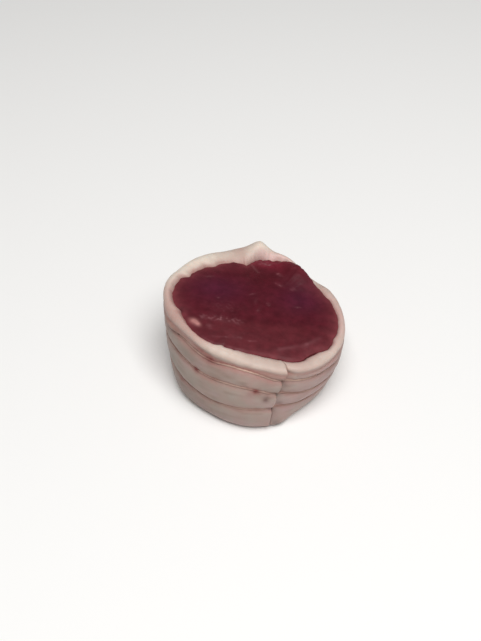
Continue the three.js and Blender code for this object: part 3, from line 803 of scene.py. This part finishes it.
raw_top = raw_top * (1 + sum(part * hill(strip_angles, at, width) for at, width, part in RAWER))
raw_stain_and_shade_wall = 0.22 * on_outside * string_stain_and_shade * (0.5 + wide_streaks)


def spots_here(spots):
    """wall_spots at each point of the strip."""
    return wall_spots(strip_angles, strip_heights, spots)


strip_marks = {
    "grain": 0.6 * fine_streaks,
    "rim": np.where(on_outside, up_roll, 1.0),
    # Painted light: paler cream where the rim faces the lamp.
    "cream": np.clip(spots_here(PAINTED_LIGHT), 0, 1),
    # A pinkish white, and painted light where it brightens slopes that face away from the lamp.
    "blush": np.clip(spots_here(PALE_PINK_AND_LIGHT), 0, 1) * on_top * np.exp(-(from_lean / PALE_PINK_AND_LIGHT_FADE) ** 2),
    "mauve": np.clip(spots_here(MAUVE) + 0.3 * mauve_streaks * (1 - up_roll), 0, 1),
    "grey": np.clip(spots_here(GREY) + 0.25 * grey_streaks, 0, 1) * (1 - up_roll),
    # Painted shade: the spots above and the painted shadow beside the seam.
    "dusk": np.clip(spots_here(PAINTED_SHADE) + seam_shadow, 0, 1) * on_outside,
    # Pink and raw tones, which also carry painted shade under the roll, in the string valleys and
    # in some spots.
    "pink": np.clip(spots_here(PINK_AND_PAINTED_SHADE) + pink_top + pink_stain_and_shade_wall + 0.12 * streaks, 0, 1),
    "raw": np.clip(raw_top + raw_stain_and_shade_wall, 0, 1),
    "blood": np.clip(spots_here(BLOOD), 0, 1) * on_outside,
    "pit": spots_here(PIT) * on_outside,
}
strip = build_mesh("barding_fat", strip_points, strip_faces, strip_marks, fat_finish)
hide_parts("fat_wrap")
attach(strip, "root")

# ---------------------------------------------------------------------------------------------
# The three turns of string. Thin cotton laid up from three plies, drawn tight round the strip
# and bedded in the fat, so it is damp and stained pink.
# ---------------------------------------------------------------------------------------------

STRING_DIAMETER = 0.7
STRING_BEDDED = 0.3
# The depth of the valleys between the plies is a part of the radius. A ply comes round again
# after PLIES pitches.
PLIES, PLY_DEPTH, TWIST_PITCH = 3, 0.13, 2.4
STRING_STEPS, STRING_SIDES = 1100, 18
# Where the string has dried paler: angle, height, half length, half height and strength.
DRY = [(263, 30.7, 6, 2, 1.0), (300, 26.5, 5, 2, 0.6), (60, 26.5, 8, 2, 0.5),
       (130, 21.5, 9, 2, 0.5)]


def string_loop(heights):
    """Points of one closed turn, how bloody and how dry each is: a section of radius r (1 + depth
    cos(plies (a - twist))), a being the angle round it, carried round in the bed."""
    angle = -np.arange(STRING_STEPS)[:, None] * 360 / STRING_STEPS
    side = np.arange(STRING_SIDES)[None, :] * 2 * np.pi / STRING_SIDES
    height = around(heights, angle)
    middle = fat_radius(angle % 360, height) + STRING_DIAMETER / 2 - STRING_BEDDED
    twists = round(ROUND_LENGTH / TWIST_PITCH / PLIES) * 2 * np.pi / 360
    thickness = STRING_DIAMETER / 2 * (1 + PLY_DEPTH * np.cos(PLIES * (side - twists * angle)))
    points = polar_to_metres(middle + thickness * np.cos(side), angle,
                             height + thickness * np.sin(side))
    stains = (np.clip(wall_spots(angle, height + 0 * side, spots), 0, 1) for spots in (BLOOD, DRY))
    return points.reshape(-1, 3), *stains


# Cotton string, twisted from three plies and soaked with meat juice. It gives a dull pinkish
# tan, darker in the valleys between the plies.
STRING_PLAIN, STRING_SOAKED = "#a4887b", "#8f6d62"
STRING_TINTS = (("dry", "#bd9d8d"), ("blood", "#743431"))
string_finish, tree, output = new_material("cotton_string_damp")
place = node(tree, "ShaderNodeTexCoord").outputs["Object"]
soak = node(tree, "ShaderNodeTexNoise",
            {"Vector": place, "Scale": 1 / (6 * MM), "Detail": 3.0}).outputs[0]
soak = node(tree, "ShaderNodeMapRange",
            {"Value": soak, "From Min": 0.4, "From Max": 0.65}).outputs[0]
tone = node(tree, "ShaderNodeMix", {0: soak, 6: linear(STRING_PLAIN), 7: linear(STRING_SOAKED)},
            data_type="RGBA").outputs[2]
for mark, code in STRING_TINTS:
    strength = node(tree, "ShaderNodeAttribute", attribute_name=mark).outputs["Fac"]
    tone = node(tree, "ShaderNodeMix",
                {0: strength, 6: tone, 7: linear(code)}, data_type="RGBA").outputs[2]
fibres = node(tree, "ShaderNodeTexNoise",
              {"Vector": place, "Scale": 1 / (0.2 * MM), "Detail": 2.0}).outputs[0]
normal = node(tree, "ShaderNodeBump",
              {"Strength": 0.4, "Distance": 0.03 * MM, "Height": fibres}).outputs[0]
shader = node(tree, "ShaderNodeBsdfPrincipled",
              {"Base Color": tone, "Roughness": 0.75, "Normal": normal})
tree.links.new(shader.outputs[0], output.inputs[0])

for turn, heights in enumerate(STRING_HEIGHTS, 1):
    points, blood, dry = string_loop(heights)
    faces = [ring_quads(STRING_STEPS, STRING_SIDES, loop=True)]
    marks = {"blood": blood, "dry": dry}
    tie = build_mesh(f"tie_string_{turn}", points, faces, marks, string_finish)
    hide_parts(f"string_{turn}")
    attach(tie, "root")

# ---------------------------------------------------------------------------------------------
# The floor, the light and the camera. A plain pale sweep, one soft light above and in front in a
# pale room, and a camera that looks down on the round at 45 degrees.
# ---------------------------------------------------------------------------------------------

# The floor lies a hair below the food, so that the two faces don't meet.
FLOOR_SIZE, FLOOR_DROP = 3.0, 0.05 * MM
FLOOR_WHITE, WORLD_LIGHT = "#f7f6f4", 0.15
floor_finish, tree, output = new_material("matt_white_card")
shader = node(tree, "ShaderNodeBsdfPrincipled",
              {"Base Color": linear(FLOOR_WHITE), "Roughness": 0.9})
tree.links.new(shader.outputs[0], output.inputs[0])
floor_points = np.array([(-1, -1, 0), (1, -1, 0), (1, 1, 0), (-1, 1, 0)]) * FLOOR_SIZE / 2
floor = build_mesh("floor", floor_points - (0, 0, FLOOR_DROP), [np.array([[0, 1, 2, 3]])], {},
                   floor_finish)

world = bpy.data.worlds.new("soft_room")
bpy.context.scene.world = world
world.use_nodes = True
world.node_tree.nodes["Background"].inputs[0].default_value = (1, 1, 1, 1)
world.node_tree.nodes["Background"].inputs[1].default_value = WORLD_LIGHT


def area_light(name, place, aim, size, power):
    """A square soft light that faces a point: tilted by the angle between straight down and the
    aim, then turned towards it."""
    data = bpy.data.lights.new(name, "AREA")
    data.shape = "SQUARE"
    data.size = size
    data.energy = power
    lamp = bpy.data.objects.new(name, data)
    lamp.location = place
    direction = np.subtract(aim, place)
    flat = np.hypot(direction[0], direction[1])
    tilt, turn = np.arctan2(flat, -direction[2]), np.arctan2(direction[0], -direction[1])
    lamp.rotation_euler = (tilt, 0, turn + np.pi)
    bpy.context.collection.objects.link(lamp)


area_light("overhead_softbox", place=(0.12, -0.39, 1.1), aim=(0, 0, 0.02), size=0.8, power=14.6)

# The camera stands this far from the axis, in millimetres, and looks down by the pitch.
CAMERA_FROM_AXIS = (-5.6, -278.6, 304.3)
CAMERA_PITCH = 45
PHOTO_LENS = 54.2
camera = bpy.data.objects.new("camera", bpy.data.cameras.new("camera"))
camera.data.sensor_fit = "VERTICAL"
camera.data.sensor_height = 36
camera.data.lens = PHOTO_LENS
camera.data.clip_start = 0.01
camera.location = (np.array(CAMERA_FROM_AXIS) + (*AXIS, 0)) * MM
camera.rotation_euler = (np.radians(90 - CAMERA_PITCH), 0, 0)
bpy.context.collection.objects.link(camera)
bpy.context.scene.camera = camera
bpy.context.scene.view_settings.view_transform = "Standard"
